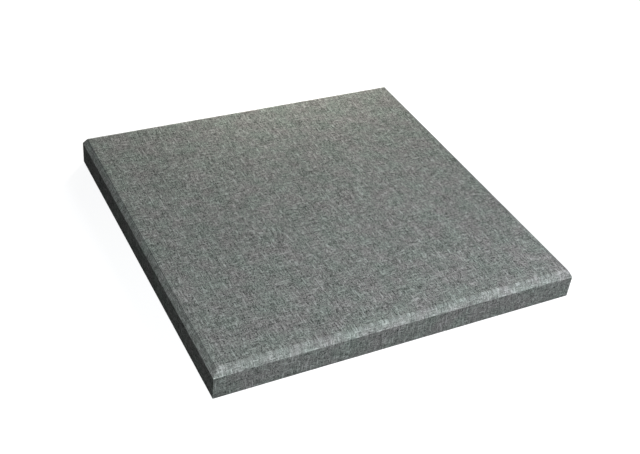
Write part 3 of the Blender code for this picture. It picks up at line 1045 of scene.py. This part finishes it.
# The painted sheen and the painted highlight both scale the cloth's colour
painted_sheen_and_highlight = add_node(tree, "Math", {
    0: painted_crease_highlight,
    1: cornered,
    2: painted_bevel_sheen,
}, operation="MULTIPLY_ADD").outputs[0]
colour = add_node(tree, "VectorMath", {0: colour, "Scale": painted_sheen_and_highlight}, operation="SCALE").outputs[0]

relief = add_node(tree, "Bump", {"Height": height, "Distance": WEAVE_DEPTH, "Strength": 0.3})
shader = add_node(tree, "BsdfPrincipled", {
    "Base Color": colour,
    "Roughness": 0.8,
    "Specular IOR Level": 0.0,
    "Normal": relief.outputs[0],
})
tree.links.new(shader.outputs[0], output.inputs["Surface"])

cloth = new_piece(cloth_bm, "cloth_cover", cloth_material)
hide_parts("fabric_cover")

# Staples
# Galvanised steel wire, drawn flat and driven through the hem and the back cover into the rails.
# They keep their solids, and the zinc is mottled grey with fine marks from drawing.

GALVANISED_BRIGHT = "#AEB3B6"
GALVANISED_DULL = "#7C8285"
MARK_LOW = 0.3
MARK_HIGH = 0.7
MARK_DEPTH = 0.00002
GLOSS_SPREAD = 0.1


def zinc_on_steel(name, bright, dull, mottle, marks, roughness):
    """Steel under zinc: clean metal, mottled, with fine marks of set sizes along X, Y and Z."""
    material, tree, output = new_material(name)
    place = add_node(tree, "TexCoord").outputs["Object"]
    tone = add_node(tree, "TexNoise", {
        "Vector": place,
        "Scale": 1 / mottle,
        "Detail": 5.0,
        "Distortion": 0.6,
    })
    tone = add_node(tree, "MapRange", {
        "Value": tone.outputs["Fac"],
        "From Min": NOISE_LOW,
        "From Max": NOISE_HIGH,
    })
    scratches = add_node(tree, "Mapping", {
        "Vector": place,
        "Scale": [1 / size for size in marks],
    })
    scratches = add_node(tree, "TexNoise", {
        "Vector": scratches.outputs[0],
        "Scale": 1.0,
        "Detail": 3.0,
    }).outputs["Fac"]
    gloss = add_node(tree, "MapRange", {
        "Value": scratches,
        "From Min": MARK_LOW,
        "From Max": MARK_HIGH,
        "To Min": roughness - GLOSS_SPREAD,
        "To Max": roughness + GLOSS_SPREAD,
    })
    colour = add_node(tree, "Mix", {
        0: tone.outputs[0],
        6: linear(dull),
        7: linear(bright),
    }, data_type="RGBA")
    relief = add_node(tree, "Bump", {
        "Height": scratches,
        "Distance": MARK_DEPTH,
        "Strength": 0.5,
    })
    shader = add_node(tree, "BsdfPrincipled", {
        "Base Color": colour.outputs[2],
        "Metallic": 1.0,
        "Roughness": gloss.outputs[0],
        "Normal": relief.outputs[0],
    })
    tree.links.new(shader.outputs[0], output.inputs["Surface"])
    return material


galvanised_wire = zinc_on_steel(
    "galvanised_wire", GALVANISED_BRIGHT, GALVANISED_DULL,
    mottle=0.0025, marks=(0.0004, 0.0004, 0.0020), roughness=0.42,
)
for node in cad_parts:
    if node.startswith("staple"):
        give_finish(node, galvanised_wire)

# Hanger plates
# Two keyhole plates let into the back of the side rails, pressed from bright zinc-plated sheet.
# The press leaves their edges slightly round, and the sheet keeps its rolling marks.

ZINC_BRIGHT = "#BFC4C7"
ZINC_DULL = "#8B9194"
PRESSED_EDGE = 0.0002
SHARP_EDGE = math.radians(50)


def softened(node, name, edge_radius, material):
    """A piece with a solid's own shape and slightly rounded sharp edges."""
    bm = bmesh.new()
    bm.from_mesh(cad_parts[node].data)
    bm.transform(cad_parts[node].matrix_world)
    bmesh.ops.remove_doubles(bm, verts=bm.verts, dist=MERGE_DISTANCE)
    bmesh.ops.recalc_face_normals(bm, faces=bm.faces)
    sharp = [edge for edge in bm.edges if edge.calc_face_angle(0) > SHARP_EDGE]
    bmesh.ops.bevel(
        bm,
        geom=sharp,
        offset=edge_radius,
        offset_type="OFFSET",
        segments=2,
        profile=0.5,
        affect="EDGES",
        clamp_overlap=True,
        material=-1,
    )
    bmesh.ops.dissolve_degenerate(bm, edges=bm.edges, dist=MERGE_DISTANCE)
    bm.normal_update()
    for face in bm.faces:
        face.smooth = abs(face.normal.z) < STRICTLY_LEVEL
    piece = new_piece(bm, name, material)
    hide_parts(node)
    return piece


zinc_sheet = zinc_on_steel(
    "bright_zinc_sheet", ZINC_BRIGHT, ZINC_DULL,
    mottle=0.0060, marks=(0.0003, 0.0100, 0.0003), roughness=0.30,
)
for plate in plates:
    softened(plate, plate.replace("hanger", "keyhole"), PRESSED_EDGE, zinc_sheet)

# Hanger screws
# Countersunk wood screws, two to a plate, cold-headed from wire and zinc-plated. Rounded edges
# on the head and the cross recess catch the light.

SCREW_BRIGHT = "#C6C3B0"
SCREW_DULL = "#8B8873"
SCREW_EDGE = 0.00012

zinc_screw = zinc_on_steel(
    "zinc_plated_screw", SCREW_BRIGHT, SCREW_DULL,
    mottle=0.0020, marks=(0.0005, 0.0005, 0.0003), roughness=0.28,
)
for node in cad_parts:
    if node.startswith("hanger_screw"):
        softened(node, node.replace("hanger", "wood"), SCREW_EDGE, zinc_screw)
